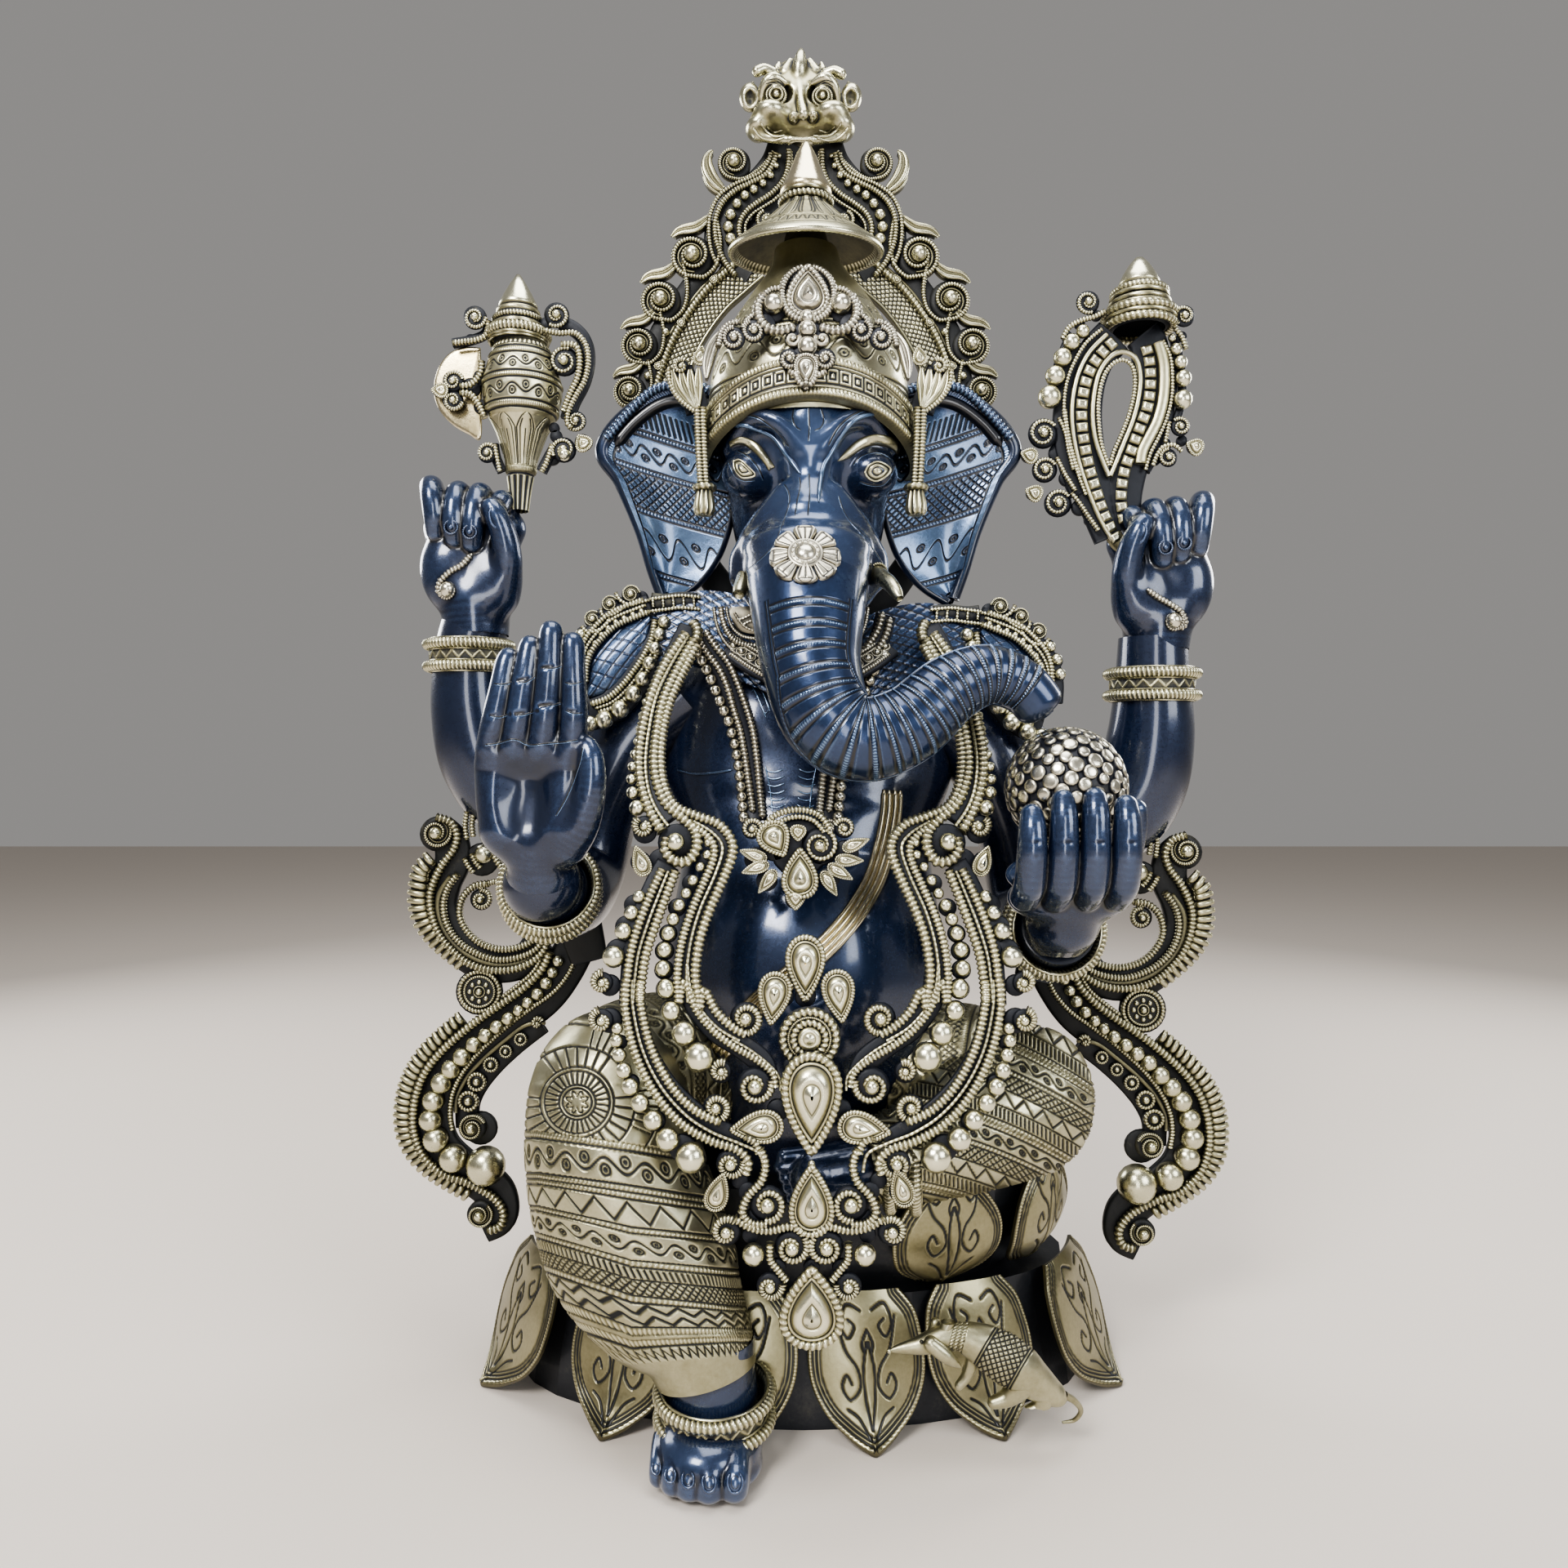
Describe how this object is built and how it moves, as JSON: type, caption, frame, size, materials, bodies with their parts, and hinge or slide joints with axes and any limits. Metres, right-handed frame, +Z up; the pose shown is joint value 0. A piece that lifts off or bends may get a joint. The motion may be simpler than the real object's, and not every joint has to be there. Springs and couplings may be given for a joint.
{
  "type": "seated four-armed deity idol",
  "caption": "Seated elephant-headed brass idol on a lotus throne with an openwork halo, crown, held attributes, hanging front ornament and a small mouse.",
  "frame": {"origin": "middle of the flat underside of the lotus base", "axes": "+Z up, the figure faces -Y, +X is the figure's own left hand"},
  "size_m": [0.567, 0.2767, 0.8921],
  "materials": {
    "blue_lacquered_brass": "dark navy lacquer over cast brass, glossy and worn on the high spots",
    "antique_brass": "antique pale brass on raised detail with blue-black patina in the recesses",
    "bright_brass": "polished brass",
    "plain_brass": "unpolished sheet brass",
    "steel_hardware": "plain steel fasteners"
  },
  "bodies": {
    "root": {"base_cover_plate": "plain_brass", "base_cover_screws": "steel_hardware", "lotus_base_shell": "antique_brass", "lower_lotus_petals": "antique_brass", "seat_drum": "antique_brass", "upper_lotus_petals": "antique_brass", "seat_tie_bolt": "steel_hardware", "torso_shell": "blue_lacquered_brass", "waist_sash": "antique_brass", "right_leg": "antique_brass", "right_foot": "blue_lacquered_brass", "right_anklet": "antique_brass", "left_leg": "antique_brass", "left_foot": "blue_lacquered_brass", "left_anklet": "antique_brass", "head_shell": "blue_lacquered_brass", "trunk": "blue_lacquered_brass", "right_ear": "blue_lacquered_brass", "left_ear": "blue_lacquered_brass", "eye_inlays": "bright_brass", "tusks": "bright_brass", "trunk_flower": "bright_brass", "crown_dome": "antique_brass", "crown_band": "antique_brass", "crown_crest": "antique_brass", "crown_tassels": "antique_brass", "crown_umbrella": "antique_brass", "crown_finial": "bright_brass", "rear_right_arm": "blue_lacquered_brass", "rear_right_hand": "blue_lacquered_brass", "rear_left_arm": "blue_lacquered_brass", "rear_left_hand": "blue_lacquered_brass", "front_right_arm": "blue_lacquered_brass", "front_right_hand": "blue_lacquered_brass", "front_left_arm": "blue_lacquered_brass", "front_left_hand": "blue_lacquered_brass", "rear_right_bracelet": "antique_brass", "rear_left_bracelet": "antique_brass", "front_right_bracelet": "antique_brass", "front_left_bracelet": "antique_brass", "palm_scrolls": "bright_brass", "modak_sweet": "bright_brass", "hand_goad": "antique_brass", "hand_noose": "antique_brass", "right_shoulder_guard": "antique_brass", "left_shoulder_guard": "antique_brass", "neck_collar": "antique_brass", "chest_garland": "antique_brass", "belly_pendant": "antique_brass", "right_front_drape": "antique_brass", "left_front_drape": "antique_brass", "centre_pendants": "antique_brass", "right_side_scroll": "antique_brass", "left_side_scroll": "antique_brass", "halo_frame": "antique_brass", "halo_scrollwork": "antique_brass", "lion_mask": "antique_brass", "halo_bolts": "steel_hardware", "mouse": "antique_brass"}
  },
  "joints": []
}
